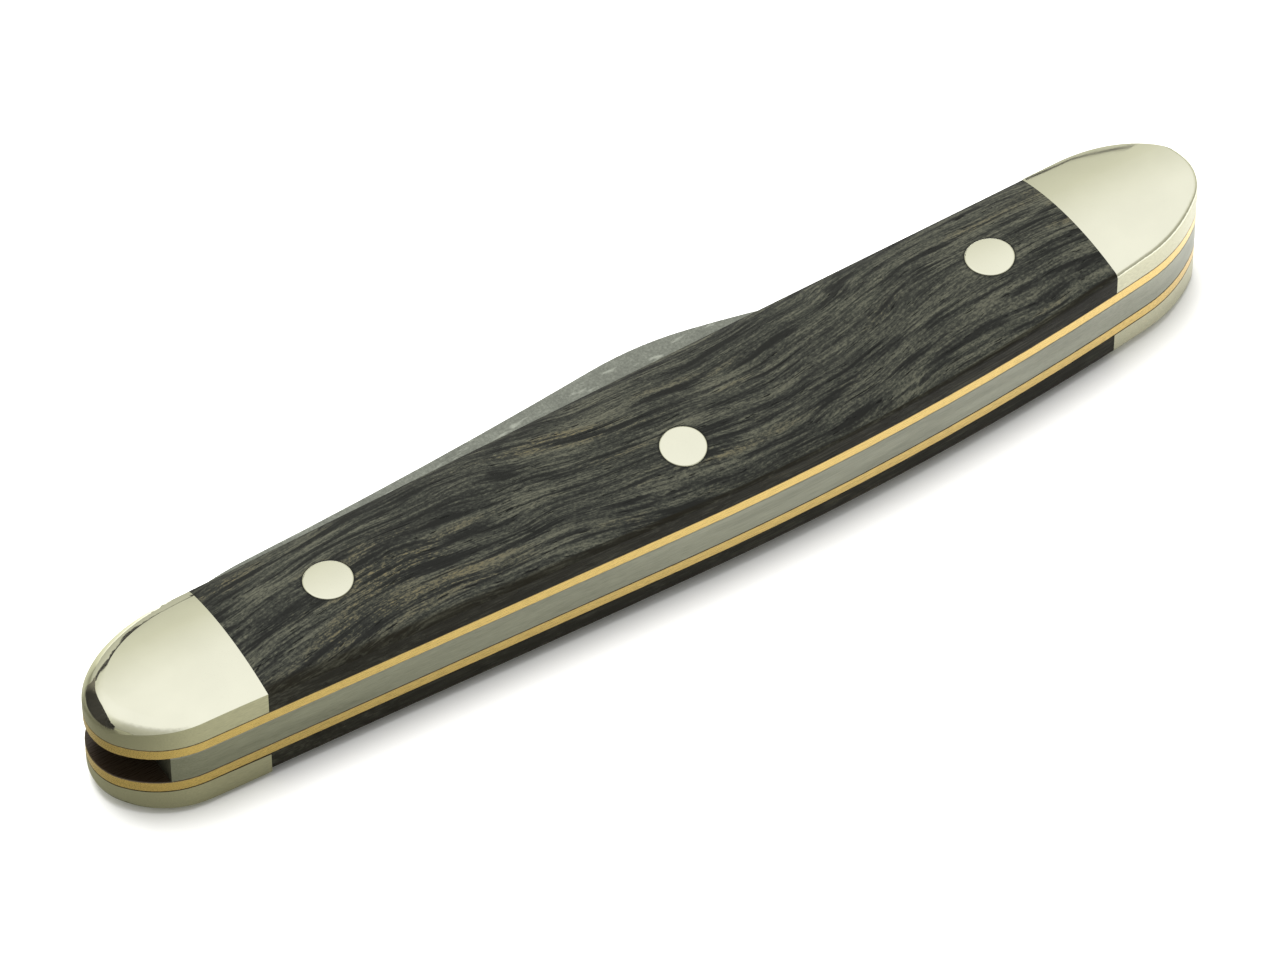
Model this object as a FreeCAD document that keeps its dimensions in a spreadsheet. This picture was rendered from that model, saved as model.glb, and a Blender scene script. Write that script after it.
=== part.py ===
"""Single-blade slip-joint pocket knife, closed and lying on its side.

X runs from the nose at the pivot end (negative) to the nose at the far end,
both noses lie on the X axis, the backspring is on the -Y side and the blade
folds out on the +Y side. Z = 0 is the surface that the knife lies on.
"""
import FreeCAD, Part
import enum
import math
import os

import Sketcher
from FreeCAD import Vector

# Driving dimensions in millimetres.
SIZES = {
    # Handle outline, seen from above.
    "closed_length": 88.0,
    "blade_side_step": 1.72,
    "front_back_step": 1.25,
    "rear_back_step": 1.06,
    "back_bow": 2.39,
    "back_deepest_x": 9.0,
    "front_nose_radius": 3.8,
    "front_lower_radius": 7.0,
    "front_upper_radius": 12.0,
    "rear_nose_radius": 3.8,
    "rear_lower_radius": 11.0,
    "rear_upper_radius": 8.0,
    # Layers, from the middle outwards.
    "well_width": 2.5,
    "liner_thickness": 0.98,
    "cover_height": 2.5,
    "crown_radius": 17.4,
    "crown_y": -1.0,
    "land_depth": 0.08,
    "edge_break": 0.06,
    # Rounding of the covers' edges, and how far their blanks stand out before they are ground.
    "blade_side_allowance": 2.2,
    "front_back_allowance": 0.45,
    "front_nose_rounding": 1.5,
    "blade_side_rounding": 4.4,
    "front_joint_rounding": 0.35,
    "middle_rounding": 1.8,
    "rear_joint_rounding": 0.5,
    "rear_nose_rounding": 0.3,
    # Bolsters, from the noses to their joints with the scales.
    "front_bolster_length": 10.8,
    "rear_bolster_length": 9.92,
    # Pins, from the noses or, for the rivets, from the joints.
    "pivot_inset": 7.0,
    "pivot_y": 1.2,
    "pivot_pin_diameter": 2.8,
    "pivot_clearance": 0.03,
    "rear_pin_inset": 5.7,
    "rear_pin_diameter": 2.4,
    "pin_skin": 0.8,
    "centre_pin_x": 0.9,
    "centre_pin_y": -2.6,
    "front_rivet_inset": 8.0,
    "front_rivet_y": 0.5,
    "rear_rivet_inset": 6.53,
    "rear_rivet_y": 0.1,
    "pin_diameter": 1.8,
    "rivet_head_diameter": 3.5,
    "centre_head_diameter": 3.3,
    "head_depth": 1.2,
    "head_proud": 0.06,
    "head_rounding": 0.12,
    "inner_head_diameter": 3.0,
    "inner_head_depth": 0.4,
    # Blade in the closed position: lengths from the pivot, insets from its point.
    "blade_thickness": 2.4,
    "tang_reach": 3.5,
    "tang_corner_radius": 1.0,
    "tang_gap": 0.02,
    "shoulder_top_y": 6.5,
    "ricasso_radius": 25.0,
    "ricasso_length": 9.5,
    "spine_radius": 400.0,
    "hump_inset": 24.7,
    "hump_y": 8.8,
    "hump_radius": 26.0,
    "drop_radius": 95.0,
    "tip_inset": 16.5,
    "tip_y": 2.0,
    "belly_radius": 55.0,
    "edge_y": -0.2,
    "choil_length": 9.6,
    "kick_length": 8.6,
    "edge_thickness": 0.1,
    "grind_width": 5.2,
    "tip_grind_width": 2.2,
    "nick_inset": 23.5,
    "nick_y": 6.9,
    "nick_length": 13.0,
    "nick_radius": 15.0,
    "nick_depth": 0.5,
    # Backspring: lengths from the pivot, inset from the rear nose.
    "spring_flat_length": 12.0,
    "spring_rise_length": 17.0,
    "spring_inner_y": -0.8,
    "tail_radius": 8.0,
    "tail_inset": 12.0,
    # How far cutting shapes run past what they cut.
    "overrun": 12.0,
}

# How far a bolster joint leans along X for each millimetre towards the back.
FRONT_LEAN_SHARE = -0.03
REAR_LEAN_SHARE = 0.03
# Stations of the blade's bevel from choil to tip, and how far the edge has risen there.
STATION_SHARES = (0, 0.35, 0.68, 0.85, 1.02)
EDGE_RISE_SHARES = (0, 0, 0, 0.28, 1.13)
# How far the bevel's cutting shapes run past the edge and past the grind line.
BEVEL_MARGIN_SHARE = 0.2
# Slopes of the blade's spine before and after its hump, for its first places.
SPINE_SLOPE_SHARE = 0.05
DROP_SLOPE_SHARE = 0.19


class Size:
    """A length from the sheet: its value now and the expression that keeps it bound."""

    def __init__(self, value, text):
        self.value = value
        self.text = text

    def __add__(self, other):
        return Size(self.value + other.value, f"({self.text} + {other.text})")

    def __sub__(self, other):
        return Size(self.value - other.value, f"({self.text} - {other.text})")

    def __mul__(self, share):
        return Size(self.value * share, f"({self.text} * {share})")

    def squared(self):
        return Size(self.value ** 2, f"({self.text} * {self.text})")

    def over(self, other):
        return Size(self.value / other.value, f"({self.text} / {other.text})")

    def __neg__(self):
        return Size(-self.value, f"(0 - {self.text})")


def fill_sheet(document):
    sheet = document.addObject("Spreadsheet::Sheet", "sizes")
    for row, (alias, value) in enumerate(SIZES.items(), start=1):
        sheet.set(f"A{row}", alias.replace("_", " "))
        sheet.set(f"B{row}", str(value))
        sheet.setAlias(f"B{row}", alias)
    document.recompute()
    return sheet


doc = FreeCAD.newDocument("pocket_knife")
fill_sheet(doc)
S = {alias: Size(value, f"sizes.{alias}") for alias, value in SIZES.items()}
ZERO = Size(0, "0")
HALF = 0.5
QUARTER_TURN = 90

# Height of the middle plane above the surface that the knife lies on.
MIDDLE = S["well_width"] * HALF + S["liner_thickness"] + S["cover_height"] - S["land_depth"]
# Heights of the upper layers' faces.
LINER_IN = MIDDLE + S["well_width"] * HALF
LINER_OUT = LINER_IN + S["liner_thickness"]
CROWN_TOP = LINER_OUT + S["cover_height"]
HEAD_SEAT = CROWN_TOP - S["head_depth"]
# Foot and height of the covers' blanks, which are ground down to the liner.
BLANK_FOOT = LINER_OUT - S["overrun"]
BLANK_RISE = S["overrun"] + S["cover_height"] + S["overrun"]

# Places along X, worked out from the two noses.
FRONT_END = S["closed_length"] * -HALF
REAR_END = S["closed_length"] * HALF
FRONT_JOINT_X = FRONT_END + S["front_bolster_length"]
REAR_JOINT_X = REAR_END - S["rear_bolster_length"]
PIVOT_X = FRONT_END + S["pivot_inset"]
REAR_PIN_X = REAR_END - S["rear_pin_inset"]
RIVETS = {
    "front": (FRONT_JOINT_X + S["front_rivet_inset"], S["front_rivet_y"]),
    "rear": (REAR_JOINT_X - S["rear_rivet_inset"], S["rear_rivet_y"]),
}
TIP_X = REAR_END - S["tip_inset"]
CHOIL_X = PIVOT_X + S["choil_length"]
KICK_X = PIVOT_X + S["kick_length"]
SPINE_START_X = PIVOT_X + S["ricasso_length"]
HUMP_X = TIP_X - S["hump_inset"]
NICK_X = TIP_X - S["nick_inset"]

# Sides of the handle outside its noses, and the bow of its back from the rear nose.
BLADE_SIDE = S["front_nose_radius"] + S["blade_side_step"]
FRONT_BACK = S["front_nose_radius"] + S["front_back_step"]
BACK_DEPTH = S["rear_nose_radius"] + S["rear_back_step"] + S["back_bow"]
BACK_RUN = REAR_END - S["rear_nose_radius"] - S["back_deepest_x"]
BACK_BOW = S["back_bow"]
BACK_RADIUS = (BACK_RUN.squared() + BACK_BOW.squared()).over(BACK_BOW + BACK_BOW)


def bind(feature, prop, size):
    feature.setExpression(prop, size.text)


# Sketches.

def arc(start, end, radius):
    """Anticlockwise arc from start to end, at most a half turn."""
    chord = end - start
    reach = max(radius, chord.Length * HALF)
    rise = math.sqrt(max(reach ** 2 - (chord.Length * HALF) ** 2, 0))
    side = Vector(-chord.y, chord.x, 0).normalize()
    centre = (start + end) * HALF + side * rise
    first = math.atan2(start.y - centre.y, start.x - centre.x)
    last = math.atan2(end.y - centre.y, end.x - centre.x)
    circle = Part.Circle(centre, Vector(0, 0, 1), reach)
    return Part.ArcOfCircle(circle, first, last)


class Spot(enum.IntEnum):
    """Which point of a line or arc a constraint holds."""

    START = 1
    END = 2
    CENTRE = 3


START, END, CENTRE = Spot
ORIGIN = (-START, START)


class Outline:
    """A closed chain of lines and arcs, held by constraints bound to the sheet."""

    def __init__(self, sketch):
        self.sketch = sketch
        self.ends = []

    def line(self, start, end):
        index = self.sketch.addGeometry(Part.LineSegment(start, end))
        self.ends.append((index, START, END))
        return index

    def arc(self, start, end, radius):
        index = self.sketch.addGeometry(arc(start, end, radius.value))
        self.ends.append((index, START, END))
        self.measure("Radius", radius, index)
        return index

    def hollow_arc(self, start, end, radius):
        index = self.sketch.addGeometry(arc(end, start, radius.value))
        self.ends.append((index, END, START))
        self.measure("Radius", radius, index)
        return index

    def measure(self, kind, size, *where):
        number = self.sketch.addConstraint(Sketcher.Constraint(kind, *where, size.value))
        bind(self.sketch, f"Constraints[{number}]", size)

    def at_x(self, index, point, size):
        self.measure("DistanceX", size, *ORIGIN, index, point)

    def at_y(self, index, point, size):
        self.measure("DistanceY", size, *ORIGIN, index, point)

    def hold(self, kind, index):
        self.sketch.addConstraint(Sketcher.Constraint(kind, index))

    def close(self, sharp=()):
        """Join each piece to the next, smoothly except after those in sharp."""
        followers = self.ends[1:] + self.ends[:1]
        for (index, _, end), (other, start, _) in zip(self.ends, followers):
            kind = "Coincident" if index in sharp else "Tangent"
            self.sketch.addConstraint(Sketcher.Constraint(kind, index, end, other, start))


def point(x, y):
    return Vector(x, y, 0)


def polygon(sketch, corners):
    """Straight outline through corners, each an x and a y from the sheet."""
    outline = Outline(sketch)
    places = [point(x.value, y.value) for x, y in corners]
    for place, follower in zip(places, places[1:] + places[:1]):
        outline.line(place, follower)
    outline.close(sharp=range(len(corners)))
    for index, (x, y) in enumerate(corners):
        outline.at_x(index, START, x)
        outline.at_y(index, START, y)
    return sketch


def circle(sketch, x, y, diameter):
    place = point(x.value, y.value)
    shape = Part.Circle(place, Vector(0, 0, 1), diameter.value * HALF)
    outline = Outline(sketch)
    index = sketch.addGeometry(shape)
    outline.measure("Diameter", diameter, index)
    outline.at_x(index, CENTRE, x)
    outline.at_y(index, CENTRE, y)
    return sketch


def shoulder_centre(nose, nose_radius, edge, radius, inward):
    """Centre of a shoulder arc that runs inside a nose arc and touches y = edge."""
    y = edge - math.copysign(radius, edge)
    run = math.sqrt(max((radius - nose_radius) ** 2 - y ** 2, 0))
    return point(nose.x + inward * run, y)


def contact(centre, radius, towards):
    return centre + (towards - centre).normalize() * radius


def handle_outline(name, blade_allowance, back_allowance):
    """Plan of the handle, its blade side and the front of its back standing out by allowances."""
    sketch = doc.addObject("Sketcher::SketchObject", name)
    outline = Outline(sketch)
    blade_side = BLADE_SIDE + blade_allowance
    front_depth = FRONT_BACK + back_allowance
    front_r = S["front_nose_radius"].value
    rear_r = S["rear_nose_radius"].value
    front = point(FRONT_END.value + front_r, 0)
    rear = point(REAR_END.value - rear_r, 0)

    # First places of the shoulder arcs, which the constraints then make exact.
    blade = blade_side.value
    low = -front_depth.value
    f_low = shoulder_centre(front, front_r, low, S["front_lower_radius"].value, 1)
    f_up = shoulder_centre(front, front_r, blade, S["front_upper_radius"].value, 1)
    r_low = shoulder_centre(rear, rear_r, low, S["rear_lower_radius"].value, -1)
    r_up = shoulder_centre(rear, rear_r, blade, S["rear_upper_radius"].value, -1)
    back_start = point(S["back_deepest_x"].value - BACK_DEPTH.value, -BACK_DEPTH.value)
    f_nose_top = contact(front, front_r, front * 2 - f_up)
    f_nose_low = contact(front, front_r, front * 2 - f_low)
    r_nose_top = contact(rear, rear_r, rear * 2 - r_up)
    r_nose_low = contact(rear, rear_r, rear * 2 - r_low)

    front_nose = outline.arc(f_nose_top, f_nose_low, S["front_nose_radius"])
    outline.arc(f_nose_low, point(f_low.x, low), S["front_lower_radius"])
    back_line = outline.line(point(f_low.x, low), back_start)
    back_arc = outline.arc(back_start, point(r_low.x, low), BACK_RADIUS)
    outline.arc(point(r_low.x, low), r_nose_low, S["rear_lower_radius"])
    rear_nose = outline.arc(r_nose_low, r_nose_top, S["rear_nose_radius"])
    outline.arc(r_nose_top, point(r_up.x, blade), S["rear_upper_radius"])
    blade_line = outline.line(point(r_up.x, blade), point(f_up.x, blade))
    outline.arc(point(f_up.x, blade), f_nose_top, S["front_upper_radius"])
    outline.close()

    outline.at_x(front_nose, CENTRE, FRONT_END + S["front_nose_radius"])
    outline.at_y(front_nose, CENTRE, ZERO)
    outline.at_x(rear_nose, CENTRE, REAR_END - S["rear_nose_radius"])
    outline.at_y(rear_nose, CENTRE, ZERO)
    outline.at_y(blade_line, START, blade_side)
    outline.hold("Horizontal", blade_line)
    outline.at_y(back_line, START, -front_depth)
    outline.at_x(back_arc, CENTRE, S["back_deepest_x"])
    outline.at_y(back_arc, CENTRE, BACK_RADIUS - BACK_DEPTH)
    return sketch


# Solids.

def prism(name, sketch, bottom, height):
    solid = doc.addObject("Part::Extrusion", name)
    solid.Base = sketch
    solid.DirMode = "Custom"
    solid.Dir = Vector(0, 0, 1)
    solid.Solid = True
    bind(solid, "LengthFwd", height)
    bind(solid, "Placement.Base.z", bottom)
    return solid


def cylinder(name, x, y, bottom, diameter, height):
    solid = doc.addObject("Part::Cylinder", name)
    bind(solid, "Radius", diameter * HALF)
    bind(solid, "Height", height)
    bind(solid, "Placement.Base.x", x)
    bind(solid, "Placement.Base.y", y)
    bind(solid, "Placement.Base.z", bottom)
    return solid


def common(name, base, tool):
    solid = doc.addObject("Part::Common", name)
    solid.Base = base
    solid.Tool = tool
    return solid


def cut(name, base, tools):
    """Base with each of the tools taken away."""
    for number, tool in enumerate(tools):
        solid = doc.addObject("Part::Cut", f"{name}_{number}")
        solid.Base = base
        solid.Tool = tool
        base = solid
    return base


def fuse(name, pieces):
    solid = doc.addObject("Part::MultiFuse", name)
    solid.Shapes = pieces
    solid.Refine = True
    return solid


def mirror(name, source, height):
    """Copy of source on the other side of the level plane at a height."""
    solid = doc.addObject("Part::Mirroring", name)
    solid.Source = source
    solid.Normal = Vector(0, 0, 1)
    bind(solid, "Base.z", height)
    return solid


def is_crown(face):
    return isinstance(face.Surface, Part.Cylinder) and abs(face.Surface.Axis.x) > HALF


def is_joint(face):
    return isinstance(face.Surface, Part.Plane) and abs(face.Surface.Axis.x) > HALF


def is_crown_edge(shape, edge):
    """Whether the crown meets a wall here, and not a joint."""
    faces = shape.ancestorsOfType(edge, Part.Face)
    return any(map(is_crown, faces)) and not any(map(is_joint, faces))


def rounded(name, base, radius_at):
    """Base with the edges of its crown rounded, by a radius worked out at each corner."""
    doc.recompute()
    solid = doc.addObject("Part::Fillet", name)
    solid.Base = base
    solid.Edges = [
        (number, radius_at(edge.firstVertex()), radius_at(edge.lastVertex()))
        for number, edge in enumerate(base.Shape.Edges, start=1)
        if is_crown_edge(base.Shape, edge)
    ]
    return solid


def broken(name, sheet):
    """Sheet with the sharp edges round its two faces taken off."""
    doc.recompute()
    width = S["edge_break"].value
    solid = doc.addObject("Part::Chamfer", name)
    solid.Base = sheet
    solid.Edges = [
        (number, width, width)
        for number, edge in enumerate(sheet.Shape.Edges, start=1)
        if math.isclose(edge.firstVertex().Z, edge.lastVertex().Z)
    ]
    return solid


NODES = []


def node(solid, label):
    """Make solid a sub-part of its own, under the name that its file gets."""
    solid.Label = label
    NODES.append(solid)
    return solid


def pair(upper, name, land=None):
    """Upper sub-part and its mirrored twin, whose crown is flattened by the land."""
    node(upper, f"upper_{name}")
    lower = mirror(f"{name}_twin", upper, MIDDLE)
    if land:
        lower = cut(f"{name}_landed", lower, [land])
    node(lower, f"lower_{name}")


# Plans and regions shared by the layers.

def joint(x, lean_share, y):
    """Place of a bolster joint at one y, leaning along X towards the back."""
    return x - y * lean_share, y


BACK, FRONT = -S["overrun"], S["overrun"]
FRONT_JOINT = [joint(FRONT_JOINT_X, FRONT_LEAN_SHARE, y) for y in (BACK, FRONT)]
REAR_JOINT = [joint(REAR_JOINT_X, REAR_LEAN_SHARE, y) for y in (BACK, FRONT)]
FRONT_CORNERS = [(FRONT_END - S["overrun"], y) for y in (BACK, FRONT)]
REAR_CORNERS = [(REAR_END + S["overrun"], y) for y in (BACK, FRONT)]


def region(name, left, right):
    """Upright block between two lines, each given by its back and front points."""
    sketch = doc.addObject("Sketcher::SketchObject", f"{name}_region")
    polygon(sketch, [left[0], right[0], right[1], left[1]])
    return prism(f"{name}_block", sketch, BLANK_FOOT, BLANK_RISE)


def crown(name, radius):
    """Long round bar along X whose top is the crown of the upper covers."""
    bar = doc.addObject("Part::Cylinder", name)
    bar.Placement.Rotation = FreeCAD.Rotation(Vector(0, 1, 0), QUARTER_TURN)
    bind(bar, "Radius", radius)
    bind(bar, "Height", S["closed_length"] + S["overrun"] + S["overrun"])
    bind(bar, "Placement.Base.x", FRONT_END - S["overrun"])
    bind(bar, "Placement.Base.y", S["crown_y"])
    bind(bar, "Placement.Base.z", CROWN_TOP - S["crown_radius"])
    return bar


handle_plan = handle_outline("handle_plan", ZERO, ZERO)
blank_plan = handle_outline("blank_plan", S["blade_side_allowance"], S["front_back_allowance"])
crown_bar = crown("crown_bar", S["crown_radius"])
head_bar = crown("head_bar", S["crown_radius"] + S["head_proud"])

# Block under the surface that the knife lies on, which flattens the lower crown.
land = doc.addObject("Part::Box", "land")
bind(land, "Length", S["closed_length"] + S["overrun"] + S["overrun"])
bind(land, "Width", S["overrun"] + S["overrun"])
bind(land, "Height", S["overrun"])
bind(land, "Placement.Base.x", FRONT_END - S["overrun"])
bind(land, "Placement.Base.y", BACK)
bind(land, "Placement.Base.z", BACK)


# Pins.

def blind_pin(name, x, y, diameter):
    """Pin that ends under the surface of the bolsters on both sides."""
    reach = CROWN_TOP - S["pin_skin"] - MIDDLE
    return node(cylinder(name, x, y, MIDDLE - reach, diameter, reach + reach), name)


def headed_shank(name, x, y, bottom, head_diameter):
    """Shank from bottom up, with a flat-seated head that follows the crown."""
    shank = cylinder(f"{name}_shank", x, y, bottom, S["pin_diameter"], HEAD_SEAT - bottom)
    rise = S["head_depth"] + S["overrun"]
    head = cylinder(f"{name}_head", x, y, HEAD_SEAT, head_diameter, rise)
    crowned = common(f"{name}_crowned_head", head, head_bar)
    return shank, rounded(f"{name}_rounded_head", crowned, lambda _: S["head_rounding"].value)


def scale_rivet(name, x, y):
    """Rivet from the inside of the liner, where it is headed flush, to the crown."""
    shank, head = headed_shank(name, x, y, LINER_IN, S["rivet_head_diameter"])
    width, depth = S["inner_head_diameter"], S["inner_head_depth"]
    foot = cylinder(f"{name}_foot", x, y, LINER_IN, width, depth)
    return fuse(name, [foot, shank, head])


def through_pin(name, x, y):
    """Pin through the whole knife, with the same head on both sides."""
    shank, head = headed_shank(name, x, y, MIDDLE, S["centre_head_diameter"])
    twins = [mirror(f"{piece.Name}_twin", piece, MIDDLE) for piece in (shank, head)]
    pin = fuse(f"{name}_whole", [shank, head] + twins)
    node(cut(name, pin, [land]), name)
    return pin


pivot_pin = blind_pin("pivot_pin", PIVOT_X, S["pivot_y"], S["pivot_pin_diameter"])
rear_pin = blind_pin("rear_pin", REAR_PIN_X, ZERO, S["rear_pin_diameter"])
centre_pin = through_pin("centre_pin", S["centre_pin_x"], S["centre_pin_y"])
rivets = [scale_rivet(f"{place}_rivet", x, y) for place, (x, y) in RIVETS.items()]
for rivet in rivets:
    pair(rivet, rivet.Name, land)


# Liners and backspring.

liner_sheet = prism("liner_sheet", handle_plan, LINER_IN, S["liner_thickness"])
liner = broken("broken_liner", liner_sheet)
pair(cut("liner", liner, [pivot_pin, rear_pin, centre_pin] + rivets), "liner")


def blade_well():
    """Space between the liners that the backspring leaves to the blade."""
    sketch = doc.addObject("Sketcher::SketchObject", "well_plan")
    outline = Outline(sketch)
    end_x = PIVOT_X - S["tang_reach"]
    flat_y = S["pivot_y"] - S["tang_reach"]
    flat_end = PIVOT_X + S["spring_flat_length"]
    inner_y = S["spring_inner_y"]
    tail_x = REAR_END - S["tail_inset"]
    tail_y = inner_y + S["tail_radius"]
    tail_start = tail_x - S["tail_radius"]
    corners = [
        (end_x, BACK),
        (end_x, flat_y),
        (flat_end, flat_y),
        (flat_end + S["spring_rise_length"], inner_y),
        (tail_start, inner_y),
        (tail_x, tail_y),
        (tail_x, tail_y + S["overrun"]),
        (FRONT_END - S["overrun"], tail_y + S["overrun"]),
        (FRONT_END - S["overrun"], BACK),
    ]
    places = [point(x.value, y.value) for x, y in corners]
    followers = places[1:] + places[:1]
    for (x, y), place, follower in zip(corners, places, followers):
        if x is tail_start:
            index = outline.arc(place, follower, S["tail_radius"])
        else:
            index = outline.line(place, follower)
        outline.at_x(index, START, x)
        outline.at_y(index, START, y)
    outline.close(sharp=range(len(corners)))
    return prism("well", sketch, LINER_IN - S["well_width"], S["well_width"])


spring_sheet = prism("spring_sheet", handle_plan, LINER_IN - S["well_width"], S["well_width"])
spring = broken("broken_spring", spring_sheet)
node(cut("spring", spring, [blade_well(), centre_pin, rear_pin]), "backspring")


# Bolsters and scales.

# Rounding of the covers along X: the place, then the blade side, then the back.
ROUNDINGS = [
    (FRONT_END, S["front_nose_rounding"], S["front_nose_rounding"]),
    (FRONT_JOINT_X, S["blade_side_rounding"], S["front_joint_rounding"]),
    (S["centre_pin_x"], S["blade_side_rounding"], S["middle_rounding"]),
    (REAR_JOINT_X, S["blade_side_rounding"], S["rear_joint_rounding"]),
    (REAR_END, S["rear_nose_rounding"], S["rear_nose_rounding"]),
]


def cover_rounding(corner):
    """Rounding at a corner of the covers, changing evenly along X between places."""
    side = 1 if corner.Y > 0 else 2
    stretches = list(zip(ROUNDINGS, ROUNDINGS[1:]))
    inside = [pair for pair in stretches if corner.X < pair[1][0].value]
    start, end = inside[0] if inside else stretches[-1]
    share = (corner.X - start[0].value) / (end[0] - start[0]).value
    return start[side].value + (end[side] - start[side]).value * share


def cover(name, block, pins):
    """One piece of the upper cover: crowned, rounded, ground to the plan, drilled."""
    form = common(f"{name}_form", crowned_blank, block)
    smooth = rounded(f"{name}_smooth", form, cover_rounding)
    ground = common(f"{name}_ground", smooth, ground_plan)
    pair(cut(name, ground, pins), name, land)


cover_blank = prism("cover_blank", blank_plan, BLANK_FOOT, BLANK_RISE)
crowned_blank = common("crowned_blank", cover_blank, crown_bar)
ground_plan = prism("ground_plan", handle_plan, LINER_OUT, S["cover_height"] + S["overrun"])
cover("front_bolster", region("front", FRONT_CORNERS, FRONT_JOINT), [pivot_pin])
cover("scale", region("scale", FRONT_JOINT, REAR_JOINT), [centre_pin] + rivets)
cover("rear_bolster", region("rear", REAR_JOINT, REAR_CORNERS), [rear_pin])


# Blade.

def body_sketch(body, name, role, lift):
    """Sketch on one of the body's own origin planes, lifted off it."""
    sketch = body.newObject("Sketcher::SketchObject", name)
    plane = next(item for item in body.Origin.OriginFeatures if item.Role == role)
    sketch.AttachmentSupport = [(plane, "")]
    sketch.MapMode = "FlatFace"
    bind(sketch, "AttachmentOffset.Base.z", lift)
    return sketch


def blade_profile(sketch):
    """Tang, edge, point and spine of the closed blade, anticlockwise from the tang."""
    outline = Outline(sketch)
    reach, gap = S["tang_reach"], S["tang_gap"]
    end_x = PIVOT_X - reach + gap
    shoulder_x = PIVOT_X + reach + gap
    flat_y = S["pivot_y"] - reach + gap
    open_y = S["pivot_y"] + reach - gap
    corner_r = S["tang_corner_radius"]
    flat_start = point(end_x.value + corner_r.value, flat_y.value)
    kick = point(KICK_X.value, flat_y.value)
    choil = point(CHOIL_X.value, S["edge_y"].value)
    tip = point(TIP_X.value, S["tip_y"].value)
    rise = tip.y - choil.y
    belly_start = point(tip.x - math.sqrt(2 * S["belly_radius"].value * rise), choil.y)
    hump_top = point(HUMP_X.value, S["hump_y"].value)
    hump_r = S["hump_radius"].value
    hump_end = hump_top + point(hump_r * DROP_SLOPE_SHARE, 0)
    hump_start = hump_top - point(hump_r * SPINE_SLOPE_SHARE, 0)
    run = hump_top.x - SPINE_START_X.value
    spine_start = point(SPINE_START_X.value, hump_top.y - run * SPINE_SLOPE_SHARE)
    shoulder_top = point(shoulder_x.value, S["shoulder_top_y"].value)
    shoulder_foot = point(shoulder_x.value, open_y.value)
    open_end = point(flat_start.x, open_y.value)
    end_top = point(end_x.value, open_y.value - corner_r.value)
    end_foot = point(end_x.value, flat_y.value + corner_r.value)

    flat = outline.line(flat_start, kick)
    kick_line = outline.line(kick, choil)
    edge = outline.line(choil, belly_start)
    belly = outline.arc(belly_start, tip, S["belly_radius"])
    outline.arc(tip, hump_end, S["drop_radius"])
    hump = outline.arc(hump_end, hump_start, S["hump_radius"])
    outline.hollow_arc(hump_start, spine_start, S["spine_radius"])
    ricasso = outline.arc(spine_start, shoulder_top, S["ricasso_radius"])
    shoulder = outline.line(shoulder_top, shoulder_foot)
    open_flat = outline.line(shoulder_foot, open_end)
    outline.arc(open_end, end_top, corner_r)
    end_flat = outline.line(end_top, end_foot)
    outline.arc(end_foot, flat_start, corner_r)
    outline.close(sharp=(flat, kick_line, belly, ricasso, shoulder))

    for level in (flat, edge, open_flat):
        outline.hold("Horizontal", level)
    for upright in (shoulder, end_flat):
        outline.hold("Vertical", upright)
    outline.at_y(flat, START, flat_y)
    outline.at_x(flat, END, KICK_X)
    outline.at_x(edge, START, CHOIL_X)
    outline.at_y(edge, START, S["edge_y"])
    outline.at_x(belly, END, TIP_X)
    outline.at_y(belly, END, S["tip_y"])
    outline.at_x(hump, CENTRE, HUMP_X)
    outline.at_y(hump, CENTRE, S["hump_y"] - S["hump_radius"])
    outline.at_x(ricasso, START, SPINE_START_X)
    outline.at_x(shoulder, START, shoulder_x)
    outline.at_y(shoulder, START, S["shoulder_top_y"])
    outline.at_y(open_flat, START, open_y)
    outline.at_x(end_flat, START, end_x)
    return sketch


def bevel_section(sketch, rise_share):
    """Triangle outside one flank of the blade, from below the edge to above the grind line."""
    rise = (S["tip_y"] - S["edge_y"]) * rise_share
    width = S["grind_width"] - (S["grind_width"] - S["tip_grind_width"]) * rise_share
    slope = (S["blade_thickness"] - S["edge_thickness"]) * HALF
    edge_y = S["edge_y"] + rise
    edge_z = S["edge_thickness"] * HALF
    low_y = edge_y - width * BEVEL_MARGIN_SHARE
    high_y = edge_y + width + width * BEVEL_MARGIN_SHARE
    high_z = edge_z + slope + slope * BEVEL_MARGIN_SHARE
    return polygon(sketch, [
        (low_y, edge_z - slope * BEVEL_MARGIN_SHARE),
        (high_y, high_z),
        (low_y, high_z),
    ])


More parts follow.
